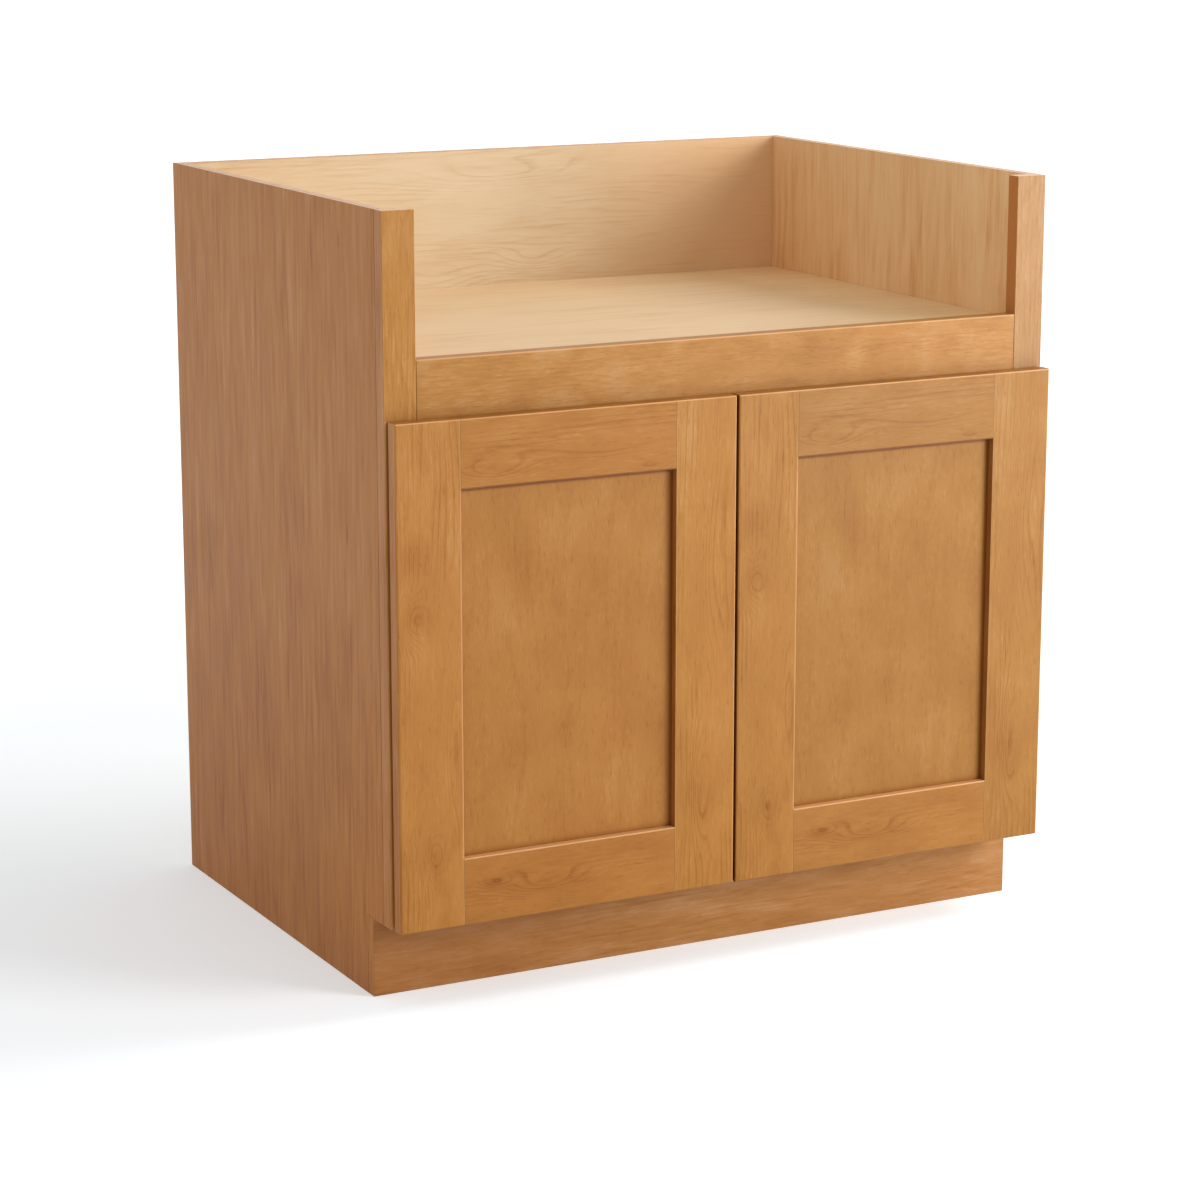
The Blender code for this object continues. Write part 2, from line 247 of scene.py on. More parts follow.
# The left side's look is paler and more orange than the fronts' stain: painted light for the shade it stands
# in; the right side's look, which the right lamp lights, takes that back
side_look = Look(
    srgb(158, 82, 4), srgb(191, 122, 46), srgb(212, 151, 94), line_gap=0.0300, line_depth=0.08, sway=2.0,
    fibre_depth=0.76, fibre_size=(0.130, 0.0095), blotch_depth=0.60, blotch_size=(0.200, 0.060),
    pore_depth=0.10, foot_shade_depth=0.14, roughness=0.46, gloss=0.22)
right_side_look = replace(tinted(side_look, (0.77, 0.83, 1.04)), fibre_depth=0.60)
toe_look = Look(
    srgb(137, 78, 12), srgb(168, 115, 60), srgb(191, 149, 109), line_gap=0.0120, line_depth=0.12, sway=3.0,
    fibre_depth=0.42, fibre_size=(0.050, 0.0036), blotch_depth=0.76, blotch_size=(0.090, 0.024),
    pore_depth=0.10, foot_shade_depth=0.0, roughness=0.46, gloss=0.26)
bare_look = Look(
    srgb(189, 146, 94), srgb(216, 192, 156), srgb(228, 215, 190), line_gap=0.0080, line_depth=0.16, sway=3.5,
    fibre_depth=0.28, fibre_size=(0.050, 0.0040), blotch_depth=0.42, blotch_size=(0.160, 0.036),
    pore_depth=0.04, foot_shade_depth=0.0, roughness=0.50, gloss=0.30)
deck_look = Look(
    srgb(205, 158, 108), srgb(232, 199, 156), srgb(240, 216, 180), line_gap=0.0300, line_depth=0.10, sway=3.0,
    fibre_depth=0.36, fibre_size=(0.150, 0.0120), blotch_depth=0.44, blotch_size=(0.300, 0.090),
    pore_depth=0.04, foot_shade_depth=0.0, roughness=0.50, gloss=0.30)
# The right wall's look is paler than its wood: painted light for the shade it stands in; the left wall's look
# takes most of that back
right_wall_look = Look(
    srgb(208, 142, 76), srgb(241, 200, 148), srgb(248, 226, 188), line_gap=0.0300, line_depth=0.10, sway=2.0,
    fibre_depth=0.48, fibre_size=(0.120, 0.0100), blotch_depth=0.70, blotch_size=(0.240, 0.070),
    pore_depth=0.06, foot_shade_depth=0.0, roughness=0.50, gloss=0.26)
left_wall_look = tinted(right_wall_look, (0.77, 0.79, 0.83))

# How much more or less red, green and blue some boards have than their look
board_tints = {
    "left_stile": (1.10, 1.12, 1.00),
    "right_stile": (1.03, 1.03, 0.95),
    "apron_rail": (1.06, 1.11, 1.12),
    "left_door_hinge_stile": (1.11, 1.14, 1.18),
    "left_door_lock_stile": (1.04, 1.09, 1.02),
    "left_door_top_rail": (0.98, 0.95, 0.75),
    "left_door_bottom_rail": (0.99, 0.95, 0.83),
    "right_door_lock_stile": (0.99, 1.04, 1.01),
    "right_door_hinge_stile": (0.92, 1.00, 1.04),
    "right_door_top_rail": (0.87, 0.93, 0.93),
    "right_door_bottom_rail": (0.95, 0.98, 0.98),
    "left_door_panel": (1.06, 1.08, 1.02),
    "right_door_panel": (0.96, 1.04, 1.06),
}

# Boards whose colour drifts along an axis, as painted light on the deck's right and the walls' front and
# painted shade on the toe-kick's left: where it starts, where it is full, and the full tint
deck_painted_light = (0.16, 0.34, (1.14, 1.12, 1.01))
wall_painted_light = (-0.05, -0.25, (1.09, 1.11, 1.12))
toe_painted_shade = (-0.05, -0.35, (0.93, 0.85, 0.79))

# Painted warm light, as bounced from the wood, towards the right of the back's inside, where it lies in
# shade: where it starts and is full, and its share
bounce_light_colour = srgb(236, 186, 132)
bounce_light_span = (0.02, 0.38)
bounce_light_share = 0.6

# Tint of the back's outside
back_tint = (1.12, 0.97, 0.84, 1.0)

# Layers of a plywood edge, from dark to pale
ply_colours = ((0.0, srgb(196, 146, 110)), (0.5, srgb(234, 187, 148)), (1.0, srgb(246, 214, 184)))

# Painted colours: shade, warm light on inner edges, shade behind the doors' outer edges, highlights, and a
# sheen on cut ends
painted_shade_colour = srgb(118, 61, 8)
edge_light_colour = srgb(196, 118, 48)
gap_shade_colour = srgb(168, 112, 66)
painted_highlight_colour = srgb(216, 163, 110)
top_sheen_colour = srgb(237, 190, 150)

# Tints of painted shade on the doors' edges in the panel's opening and where they meet, and of painted light
# on the frame's strip beside them
recess_shade_tint = (0.94, 0.84, 0.96, 1.0)
meeting_shade_tint = (0.54, 0.41, 0.37, 1.0)
reveal_light_tint = (1.28, 1.72, 3.60, 1.0)

# Hinge metal: its colours from dark to light, its brushing and smears, and its roughness and the spread of it
nickel = ((0.3, srgb(172, 168, 160)), (0.5, srgb(202, 199, 192)), (0.7, srgb(222, 220, 214)))
brush_size = (0.0004, 0.0004, 0.012)
brush_share = 0.4
smear_size = 0.006
nickel_roughness = (0.16, 0.26)

# Bumper rubber: its colours from dark to light, its clouds, its roughness and spread, and light within it
clear_rubber = ((0.3, srgb(196, 192, 182)), (0.7, srgb(226, 223, 215)))
cloud_size = 0.004
rubber_roughness = (0.40, 0.20)
rubber_scatter = 0.3
rubber_depth = (0.002, 0.002, 0.002)

# Relief of metal and rubber: its strength and height
fine_bump = (0.10, 0.0001)

# Short dark flecks on the outside of the sides
side_marks = (
    Mark((0, -0.191, 0.513), (0, 0.006, 0.030), 0.6, 0.35),
    Mark((0, 0.145, 0.152), (0, 0.007, 0.040), 0.6, 0.22),
    Mark((0, -0.180, 0.834), (0, 0.006, 0.022), 0.6, 0.25),
    Mark((0, 0.060, 0.420), (0, 0.009, 0.045), 0.8, 0.18),
)

# Wavy growth lines of the back, and knots of the apron
back_marks = (
    Mark((-0.085, 0, 0.716), (0.110, 0, 0.034), 2.8, 0.0),
    Mark((0.055, 0, 0.736), (0.075, 0, 0.024), 2.2, 0.03),
    Mark((0.000, 0, 0.845), (0.200, 0, 0.034), 2.4, 0.0),
    Mark((0.230, 0, 0.790), (0.160, 0, 0.030), 2.0, 0.0),
)
apron_marks = (
    Mark((0.130, 0, 0.690), (0.060, 0, 0.030), 2.5, 0.20),
    Mark((-0.130, 0, 0.672), (0.080, 0, 0.022), 2.0, 0.08),
)

# Knots, cathedrals and clouds of the left door's boards, which the right door's repeat
first_stile_marks = (
    Mark((-0.399, 0, 0.440), (0.028, 0, 0.046), 5.0, 0.16),
    Mark((-0.398, 0, 0.505), (0.030, 0, 0.060), 0.0, 0.10),
    Mark((-0.378, 0, 0.176), (0.022, 0, 0.044), 4.0, 0.08),
    Mark((-0.352, 0, 0.300), (0.016, 0, 0.120), 2.5, 0.0),
)
second_stile_marks = (
    Mark((-0.028, 0, 0.480), (0.034, 0, 0.200), 3.0, -0.03),
    Mark((-0.046, 0, 0.210), (0.018, 0, 0.110), 3.0, 0.04),
)
top_rail_marks = (
    Mark((-0.300, 0, 0.594), (0.080, 0, 0.026), 3.6, 0.03),
    Mark((-0.170, 0, 0.604), (0.130, 0, 0.020), 2.0, 0.02),
    Mark((-0.111, 0, 0.584), (0.045, 0, 0.012), 2.0, 0.10),
)
bottom_rail_marks = (
    Mark((-0.303, 0, 0.136), (0.030, 0, 0.012), 2.5, 0.22),
    Mark((-0.240, 0, 0.126), (0.090, 0, 0.024), 4.0, 0.02),
)
panel_marks = (
    Mark((-0.168, 0, 0.235), (0.090, 0, 0.080), 0.0, -0.09),
    Mark((-0.260, 0, 0.480), (0.030, 0, 0.120), 1.0, 0.06),
    Mark((-0.205, 0, 0.440), (0.012, 0, 0.100), 1.0, -0.08),
    Mark((-0.210, 0, 0.300), (0.030, 0, 0.060), 1.0, 0.09),
)


class Graph:
    """A material's nodes, made by short calls that return sockets."""

    def __init__(self, name):
        self.material = bpy.data.materials.new(name)
        self.material.use_nodes = True
        self.nodes = self.material.node_tree.nodes
        self.shader = self.nodes["Principled BSDF"]
        coordinates = self.nodes.new("ShaderNodeTexCoord")
        self.point = coordinates.outputs["Object"]
        self.normal = coordinates.outputs["Normal"]

    def feed(self, socket, value):
        """Link a socket to another, or set it to a constant."""
        if isinstance(value, bpy.types.NodeSocket):
            self.material.node_tree.links.new(value, socket)
        else:
            socket.default_value = value

    def math(self, operation, *values, clamp=False):
        """The result of an operation on numbers."""
        node = self.nodes.new("ShaderNodeMath")
        node.operation = operation
        node.use_clamp = clamp
        for socket, value in zip(node.inputs, values):
            self.feed(socket, value)
        return node.outputs[0]

    def place(self, centre, size):
        """The point measured from a centre, in units of a size along each axis; 0 leaves an axis out."""
        node = self.nodes.new("ShaderNodeMapping")
        scale = [1 / s if s else 0 for s in size]
        self.feed(node.inputs["Vector"], self.point)
        node.inputs["Scale"].default_value = scale
        node.inputs["Location"].default_value = [-c * s for c, s in zip(centre, scale)]
        return node.outputs[0]

    def noise(self, centre, size, detail=2.0, roughness=0.5, distortion=0.0):
        """Noise with a size along each axis."""
        node = self.nodes.new("ShaderNodeTexNoise")
        self.feed(node.inputs["Vector"], self.place(centre, size))
        node.inputs["Scale"].default_value = 1.0
        node.inputs["Detail"].default_value = detail
        node.inputs["Roughness"].default_value = roughness
        node.inputs["Distortion"].default_value = distortion
        return node.outputs[0]

    def cloud(self, size, detail=2.0):
        """Noise with one size along every axis."""
        return self.noise((0, 0, 0), (size, size, size), detail)

    def length(self, vector):
        """The length of a vector."""
        node = self.nodes.new("ShaderNodeVectorMath")
        node.operation = "LENGTH"
        self.feed(node.inputs[0], vector)
        return node.outputs["Value"]

    def dot(self, vector, weights):
        """The sum of a vector's parts, each times its weight."""
        node = self.nodes.new("ShaderNodeVectorMath")
        node.operation = "DOT_PRODUCT"
        self.feed(node.inputs[0], vector)
        node.inputs[1].default_value = weights
        return node.outputs["Value"]

    def step(self, value, start, end, low=0.0, high=1.0):
        """A smooth change from low to high as the value goes from start to end."""
        node = self.nodes.new("ShaderNodeMapRange")
        node.interpolation_type = "SMOOTHSTEP"
        for socket, given in zip(node.inputs, (value, start, end, low, high)):
            self.feed(socket, given)
        return node.outputs[0]

    def ramp(self, value, stops):
        """A colour between stops, each a position and a colour."""
        node = self.nodes.new("ShaderNodeValToRGB")
        self.feed(node.inputs[0], value)
        elements = node.color_ramp.elements
        while len(elements) < len(stops):
            elements.new(0.5)
        for element, (position, colour) in zip(elements, stops):
            element.position = position
            element.color = colour
        return node.outputs[0]

    def mix(self, share, first, second, blend="MIX"):
        """A colour with a share of a second one mixed in, or multiplied in.

        The node's colours are its inputs 6 and 7 and its output 2.
        """
        node = self.nodes.new("ShaderNodeMix")
        node.data_type = "RGBA"
        node.blend_type = blend
        self.feed(node.inputs[0], share)
        self.feed(node.inputs[6], first)
        self.feed(node.inputs[7], second)
        return node.outputs[2]

    def total(self, start, *terms):
        """A number plus each socket times its weight."""
        value = start
        for socket, weight in terms:
            value = self.math("MULTIPLY_ADD", socket, weight, value)
        return value

    def axis(self, index, vector=None):
        """One coordinate of the point, or of another vector."""
        node = self.nodes.new("ShaderNodeSeparateXYZ")
        self.feed(node.inputs[0], vector or self.point)
        return node.outputs[index]

    def facing(self, index, side):
        """1 on faces that look along an axis, to the side of the sign."""
        return self.step(self.math("MULTIPLY", self.axis(index, self.normal), side), *facing_span)

    def beyond(self, index, value, side):
        """1 where a coordinate lies past a value, on the side of the sign."""
        limit = side * value
        along = self.math("MULTIPLY", self.axis(index), side)
        return self.step(along, limit - limit_blur, limit + limit_blur)

    def between(self, index, low, high):
        """1 where a coordinate lies between two values."""
        return self.math("MULTIPLY", self.beyond(index, low, 1), self.beyond(index, high, -1))

    def inset(self, index, low, high):
        """How far a coordinate lies inside two limits."""
        off_centre = self.math("ABSOLUTE", self.math("SUBTRACT", self.axis(index), (low + high) / 2))
        return self.math("SUBTRACT", (high - low) / 2, off_centre)

    def bump(self, height, strength, distance):
        """Relief on the material's surface."""
        node = self.nodes.new("ShaderNodeBump")
        node.inputs["Strength"].default_value = strength
        node.inputs["Distance"].default_value = distance
        self.feed(node.inputs["Height"], height)
        self.feed(self.shader.inputs["Normal"], node.outputs[0])


def dress(node, material):
    """Give a CAD node its material."""
    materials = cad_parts[node].data.materials
    materials.clear()
    materials.append(material)


def grain_axes(plane):
    """Indices of the axis along the grain, the one across it on the board's face, and the third."""
    along, across = ("XYZ".index(letter) for letter in plane)
    return along, across, 3 - along - across


def grain_size(plane, along, across):
    """A size along each of X, Y and Z: long with the grain and short across it."""
    size = [across, across, across]
    size[grain_axes(plane)[0]] = along
    return size


def wood_colour(graph, look, plane, at, marks=()):
    """Colour and relief of a board with growth lines, fibres, blotches, pores and marks."""
    _, across, deep = grain_axes(plane)
    weights = [0.0, 0.0, 0.0]
    weights[across] = 1 / look.line_gap
    weights[deep] = line_lean / look.line_gap
    sway = graph.noise(at, grain_size(plane, *sway_size), detail=1.5, roughness=0.45)
    rings = graph.total(graph.dot(graph.point, weights), (sway, look.sway * 2))
    blotch_size = grain_size(plane, *look.blotch_size)
    blotch = graph.noise(at, blotch_size, detail=3.0, roughness=0.55, distortion=0.4)
    fibre_length, fibre_width = look.fibre_size
    fibre = graph.noise(at, grain_size(plane, fibre_length, fibre_width), detail=2.0, roughness=0.6)
    fine = graph.noise(at, grain_size(plane, fibre_length / 2, fibre_width / 3), detail=1.0)
    speck = graph.noise(at, grain_size(plane, *speck_size), detail=1.0)
    pores = graph.step(speck, *dark_specks)
    glints = graph.step(speck, *pale_specks, 1.0, 0.0)
    fade = graph.step(graph.noise(at, grain_size(plane, *fade_size), detail=1.0), *fade_span)
    figure = graph.math("MULTIPLY", graph.math("SUBTRACT", fibre, 0.5), graph.math("ADD", fade, 0.5))
    # Painted shade: darker towards the floor
    foot = graph.step(graph.axis(2), 0.0, foot_shade_reach, 1.0, 0.0)
    tone = graph.total(0.5 - look.blotch_depth / 2 - look.fibre_depth / 4,
                       (blotch, look.blotch_depth), (figure, look.fibre_depth), (fine, look.fibre_depth / 2),
                       (pores, -look.pore_depth), (glints, look.pore_depth * pale_speck_share),
                       (foot, -look.foot_shade_depth))
    for mark in marks:
        spread = graph.step(graph.length(graph.place(mark.centre, mark.reach)), 0.0, 1.0, 1.0, 0.0)
        rings = graph.math("MULTIPLY_ADD", spread, mark.rings, rings)
        fade = graph.math("MAXIMUM", fade, spread)
        tone = graph.math("MULTIPLY_ADD", graph.math("MULTIPLY", spread, spread), -mark.dark, tone)
    line = graph.ramp(graph.math("FRACT", rings), [(start, grey(dark)) for start, dark in line_profile])
    shown = graph.math("MULTIPLY", line, fade)
    tone = graph.math("MULTIPLY_ADD", shown, -look.line_depth, tone)
    colour = graph.ramp(tone, ((0.0, look.dark), (0.5, look.mid), (1.0, look.light)))
    relief = graph.total(0.0, *zip((fine, fibre, pores, shown), relief_shares))
    return colour, relief


def lacquer(graph, colour, relief, look, at, plane):
    """Satin lacquer over a wood colour, with a little unevenness."""
    uneven = graph.noise(at, grain_size(plane, *uneven_size))
    roughness = graph.total(look.roughness - uneven_spread / 2, (uneven, uneven_spread))
    graph.feed(graph.shader.inputs["Base Color"], colour)
    graph.feed(graph.shader.inputs["Roughness"], roughness)
    graph.shader.inputs["Specular IOR Level"].default_value = look.gloss
    graph.bump(relief, *wood_bump)


def rubbed_edges(graph, box, plane, colour, pale):
    """Lighter stain along the long arrises of a board."""
    low, high = box
    insets = [graph.inset(index, low[index], high[index]) for index in grain_axes(plane)[1:]]
    line = graph.step(graph.math("MAXIMUM", *insets), 0.0, rub_reach, rub_share, 0.0)
    return graph.mix(graph.math("MULTIPLY", line, graph.cloud(rub_patch)), colour, pale)


def wooden(node, look, plane, at=(0, 0, 0), marks=(), changes=()):
    """Dress a board, cut at a place of its own in the grain.

    Each change takes the graph and the colour and gives the new colour.
    """
    graph = Graph(node)
    look = tinted(look, board_tints.get(node, (1, 1, 1)))
    colour, relief = wood_colour(graph, look, plane, at, marks)
    colour = rubbed_edges(graph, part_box(node), plane, colour, look.light)
    for change in changes:
        colour = change(graph, colour)
    lacquer(graph, colour, relief, look, at, plane)
    dress(node, graph.material)


def arris(node, index, end, stain, share, limits=None):
    """A change of colour along a board's front arris, at the low or high end of an axis, used for painted
    highlights and painted shade.

    Limits, if given, keep it between two heights.
    """
    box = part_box(node)

    def change(graph, colour):
        across = graph.math("ABSOLUTE", graph.math("SUBTRACT", graph.axis(index), box[end][index]))
        behind = graph.math("SUBTRACT", graph.axis(1), box[0][1])
        core = arris_reach * arris_core
        line = graph.step(graph.math("MAXIMUM", across, behind), core, arris_reach, share, 0.0)
        patchy = graph.total(0.5, (graph.cloud(arris_patch), 1.0))
        line = graph.math("MULTIPLY", line, patchy, clamp=True)
        if limits:
            line = graph.math("MULTIPLY", line, graph.between(2, *limits))
        return graph.mix(line, colour, stain)

    return change


def drift(index, start, end, tint):
    """A change of colour along an axis, from none at the start to a full tint at the end."""
    def change(graph, colour):
        return graph.mix(graph.step(graph.axis(index), start, end), colour, (*tint, 1.0), "MULTIPLY")

    return change


def painted_faces(side, stain, share):
    """A change of colour on the faces that look up or down, by the sign, used for painted shade and painted
    highlights.
    """
    def change(graph, colour):
        return graph.mix(graph.math("MULTIPLY", graph.facing(2, side), share), colour, stain)

    return change


# Painted shade on the tops and undersides of the doors' rails and stiles, and a painted highlight on the top
# of a bottom rail
shaded_top = painted_faces(1, painted_shade_colour, 0.3)
highlit_top = painted_faces(1, painted_highlight_colour, 0.8)
shaded_under = painted_faces(-1, painted_shade_colour, 0.8)


def side_wood(graph, side):
    """Colour and relief of the outside of a side of the cabinet."""
    look = side_look if side < 0 else right_side_look
    return wood_colour(graph, look, "ZY", (0, 0.37 * side, 0.2), side_marks)


def outer_face(side):
    """A change for a board with a face on the side of the cabinet, which goes with the side panel."""
    def change(graph, colour):
        outside, _ = side_wood(graph, side)
        return graph.mix(graph.facing(0, side), colour, outside)

    return change


def ply_edge(graph, index, start):
    """Layers of a plywood edge, by turns pale and darker, with soft blotches."""
    layer = graph.math("PINGPONG", graph.math("SUBTRACT", graph.axis(index), start), ply)
    pale = graph.step(layer, *(ply * part for part in ply_turn))
    tone = graph.total(ply_tone, (pale, ply_contrast), (graph.cloud(ply_patch, 3.0), ply_blotch))
    return graph.ramp(tone, ply_colours)


def side_panels():
    """Stained outside, bare inside, with layered edges."""
    for node, side in (("left_side_panel", -1), ("right_side_panel", 1)):
        low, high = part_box(node)
        inner = high[0] if side < 0 else low[0]
        outer = low[0] if side < 0 else high[0]
        graph = Graph(node)
        outside, relief = side_wood(graph, side)
        wall_look = left_wall_look if side < 0 else right_wall_look
        inside, _ = wood_colour(graph, wall_look, "ZY", (0, 0.9 + 0.5 * side, 0.1))
        # Painted light towards the front of the inside
        inside = drift(1, *wall_painted_light)(graph, inside)
        core = graph.beyond(0, inner + side * veneer, side)
        colour = graph.mix(core, inside, ply_edge(graph, 0, inner))
        colour = graph.mix(graph.beyond(0, outer - side * veneer, side), colour, outside)
        lacquer(graph, colour, relief, side_look, (0, 0, 0), "ZY")
        dress(node, graph.material)


def back_panel():
    """Bare wood with wavy growth lines and a layered top edge."""
    low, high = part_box("back_panel")

    def edge(graph, colour):
        return graph.mix(graph.beyond(2, high[2] - veneer, 1), colour, ply_edge(graph, 1, low[1]))

    # Painted warm light towards the right of the inside, where it lies in shade; the outside gets its own
    # tint
    def warm(graph, colour):
        towards_right = graph.step(graph.axis(0), *bounce_light_span, 0.0, bounce_light_share)
        inside = graph.math("MULTIPLY", towards_right, graph.facing(1, -1))
        colour = graph.mix(inside, colour, bounce_light_colour)
        return graph.mix(graph.facing(1, 1), colour, back_tint, "MULTIPLY")

    wooden("back_panel", bare_look, "XZ", (0.1, 0, 0.03), back_marks, (warm, edge))


def bare_boards():
    """Sink deck, cupboard floor and cleats."""
    # The deck's right gets painted light where the right wall shades it
    wooden("sink_deck", deck_look, "XY", (0.7, 0.2, 0), (), (drift(0, *deck_painted_light),))
    wooden("floor_panel", deck_look, "XY", (1.9, 0.6, 0))
    wooden("front_cleat", bare_look, "XZ", (2.3, 0, 0.4))
    wooden("back_cleat", bare_look, "XZ", (3.1, 0, 0.8))
    wooden("left_cleat", bare_look, "YZ", (0, 4.0, 0.3))
    wooden("right_cleat", bare_look, "YZ", (0, 4.7, 0.9))


def stile_edges(side):
    """A change for a stile of the face frame.

    Its outside goes with the side panel, and so does the strip beside the door, which is paler: painted light
    where the door shades it.
    Behind the door's outer edge it has painted shade, and on cut ends a painted sheen.
    The right stile's inner edge has painted warm light, above the apron.
    """
    door_low, door_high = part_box("left_door_hinge_stile" if side < 0 else "right_door_hinge_stile")
    door_edge = door_low[0] if side < 0 else door_high[0]
    apron_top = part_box("apron_rail")[1][2]

    def change(graph, colour):
        outside, _ = side_wood(graph, side)
        front = graph.facing(1, -1)
        behind = graph.beyond(2, door_high[2], -1)
        near = graph.math("MULTIPLY", behind, graph.beyond(0, door_edge - side * gap_shade_reach, side))
        strip = graph.math("MULTIPLY", behind, graph.beyond(0, door_edge, side))
        # Painted warm light on the right stile's inner edge, which lies in shade
        if side > 0:
            above = graph.math("MULTIPLY", graph.facing(0, -side), graph.beyond(2, apron_top, 1))
            colour = graph.mix(graph.math("MULTIPLY", above, edge_light_share), colour, edge_light_colour)
        # Painted shade on the front behind the door's outer edge
        colour = graph.mix(graph.math("MULTIPLY", near, front), colour, gap_shade_colour)
        # Painted sheen on the tops
        colour = graph.mix(graph.math("MULTIPLY", graph.facing(2, 1), top_sheen_share), colour, top_sheen_colour)
        # Painted light on the strip beside the door, which the door shades
        outside = graph.mix(graph.math("MULTIPLY", strip, front), outside, reveal_light_tint, "MULTIPLY")
        return graph.mix(graph.math("MAXIMUM", graph.facing(0, side), strip), colour, outside)

    return change


def face_frame():
    """Stiles and rails of the frame, and the toe-kick board."""
    for node, side, look in (("left_stile", -1, left_stile_look), ("right_stile", 1, right_stile_look)):
        wooden(node, look, "ZX", (0.3 * side, 0, 0.5), (), (stile_edges(side),))
    # Painted highlight along the apron's top arris
    apron_changes = (arris("apron_rail", 2, 1, painted_highlight_colour, apron_highlight),)
    wooden("apron_rail", apron_look, "XZ", (0.2, 0, 0.1), apron_marks, apron_changes)
    wooden("bottom_rail", face_frame_look, "XZ", (1.2, 0, 0.6))
    # Painted shade towards the left of the toe-kick board
    toe_changes = (drift(0, *toe_painted_shade), outer_face(-1), outer_face(1))
    wooden("toe_kick_board", toe_look, "XZ", (2.2, 0, 0.3), (), toe_changes)


def panel_opening(door):
    """Limits in X and in Z of the opening that a door's frame leaves for its panel."""
    first, second = (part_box(f"{door}_door_{name}_stile") for name in stile_order[door])
    bottom, top = (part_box(f"{door}_door_{name}_rail") for name in ("bottom", "top"))
    return (first[1][0], second[0][0]), (bottom[1][2], top[0][2])


def panel_shade(door):
    """A change of painted shade on a door's panel where it meets the frame, most at its top and its right."""
    ends, rails = panel_opening(door)

    def change(graph, colour):
        inset = graph.math("MINIMUM", graph.inset(0, *ends), graph.inset(2, *rails))
        colour = graph.mix(graph.step(inset, 0.0, panel_shade_reach, panel_shade_share, 0.0), colour, door_panel_look.dark)
        lines = []
        for index, limit, (start, full, share) in ((2, rails[1], shadow_under_rail), (0, ends[1], shadow_beside_stile)):
            lines.append(graph.step(graph.axis(index), limit - start, limit - full, 0.0, share))
        return graph.mix(graph.math("MAXIMUM", *lines), colour, painted_shade_colour)

    return change


def opening_shade(side, span):
    """A change for a stile of a door: painted shade where it looks into the panel's opening."""
    def change(graph, colour):
        opening = graph.math("MULTIPLY", graph.facing(0, side), graph.between(2, *span))
        return graph.mix(opening, colour, recess_shade_tint, "MULTIPLY")

    return change


def meeting_shade(node, side):
    """A change for the edge where the doors meet: painted shade behind its front."""
    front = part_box(node)[0][1]

    def change(graph, colour):
        behind = graph.step(graph.axis(1), *(front + depth for depth in meeting_shade_span))
        inside = graph.math("MULTIPLY", graph.facing(0, side), behind)
        return graph.mix(inside, colour, meeting_shade_tint, "MULTIPLY")

    return change


def door_stiles(door, move):
    """A door's stiles, from the left; the first one's right arris gets its painted highlight only beside the
    panel.
    """
    _, span = panel_opening(door)
    first, second = stile_order[door]
    stiles = (
        (first, 1, 0.05, first_stile_marks, (first_stile_highlight, span)),
        (second, -1, 0.95, second_stile_marks, (second_stile_highlight,)),
    )
    for name, side, at, marks, arris_highlight in stiles:
        node = f"{door}_door_{name}_stile"
        # Painted shade in the opening, on the top and on the meeting edge; painted highlights on the top and
        # right arrises
        outward = outer_face(-side) if name == "hinge" else meeting_shade(node, -side)
        changes = (opening_shade(side, span), shaded_top, arris(node, 2, 1, painted_highlight_colour, top_highlight),
                   arris(node, 0, 1, painted_highlight_colour, *arris_highlight), outward)
        wooden(node, door_frame_look, "ZX", (move + at, 0, at), moved(marks, move), changes)


def door_rails(door, move):
    """A door's top rail, with painted shade above and below, and its bottom rail, with a painted highlight on
    top.
    """
    node = f"{door}_door_top_rail"
    changes = (shaded_top, shaded_under, arris(node, 2, 0, painted_shade_colour, lip_shade),
               arris(node, 2, 1, painted_highlight_colour, top_highlight))
    wooden(node, door_frame_look, "XZ", (move + 0.30, 0, 0.2), moved(top_rail_marks, move), changes)
    node = f"{door}_door_bottom_rail"
    changes = (highlit_top, arris(node, 2, 1, painted_highlight_colour, sill_highlight))
    wooden(node, door_frame_look, "XZ", (move + 1.30, 0, 0.9), moved(bottom_rail_marks, move), changes)


def doors():
    """Both doors are cut from the same drawing of boards, moved from one door to the next."""
    for door, move in (("left", 0.0), ("right", door_pitch)):
        door_stiles(door, move)
        door_rails(door, move)
        # The panel gets painted shade where the frame meets it
        wooden(f"{door}_door_panel", door_panel_look, "ZX", (move + 2.10, 0, 0.4),
               moved(panel_marks, move), (panel_shade(door),))


def metal(name):
    """Brushed nickel plate with faint smears."""
    graph = Graph(name)
    brush = graph.noise((0, 0, 0), brush_size)
    smear = graph.cloud(smear_size, 3.0)
    tone = graph.total(0.0, (brush, brush_share), (smear, 1 - brush_share))
    smooth, spread = nickel_roughness
    graph.feed(graph.shader.inputs["Base Color"], graph.ramp(tone, nickel))
    graph.feed(graph.shader.inputs["Roughness"], graph.total(smooth, (smear, spread)))
    graph.shader.inputs["Metallic"].default_value = 1.0
    graph.bump(brush, *fine_bump)
    return graph.material


def rubber(name):
    """Clear soft rubber, a little cloudy."""
    graph = Graph(name)
    cloud = graph.cloud(cloud_size, 3.0)
    smooth, spread = rubber_roughness
    graph.feed(graph.shader.inputs["Base Color"], graph.ramp(cloud, clear_rubber))
    graph.feed(graph.shader.inputs["Roughness"], graph.total(smooth, (cloud, spread)))
    graph.shader.inputs["Subsurface Weight"].default_value = rubber_scatter
    graph.shader.inputs["Subsurface Radius"].default_value = rubber_depth
    graph.bump(cloud, *fine_bump)
    return graph.material


def object_from(name, bm):
    """A new object in the scene from a mesh being built, which is freed."""
    mesh = bpy.data.meshes.new(name)
    bm.to_mesh(mesh)
    bm.free()
    obj = bpy.data.objects.new(name, mesh)
    bpy.context.collection.objects.link(obj)
    return obj


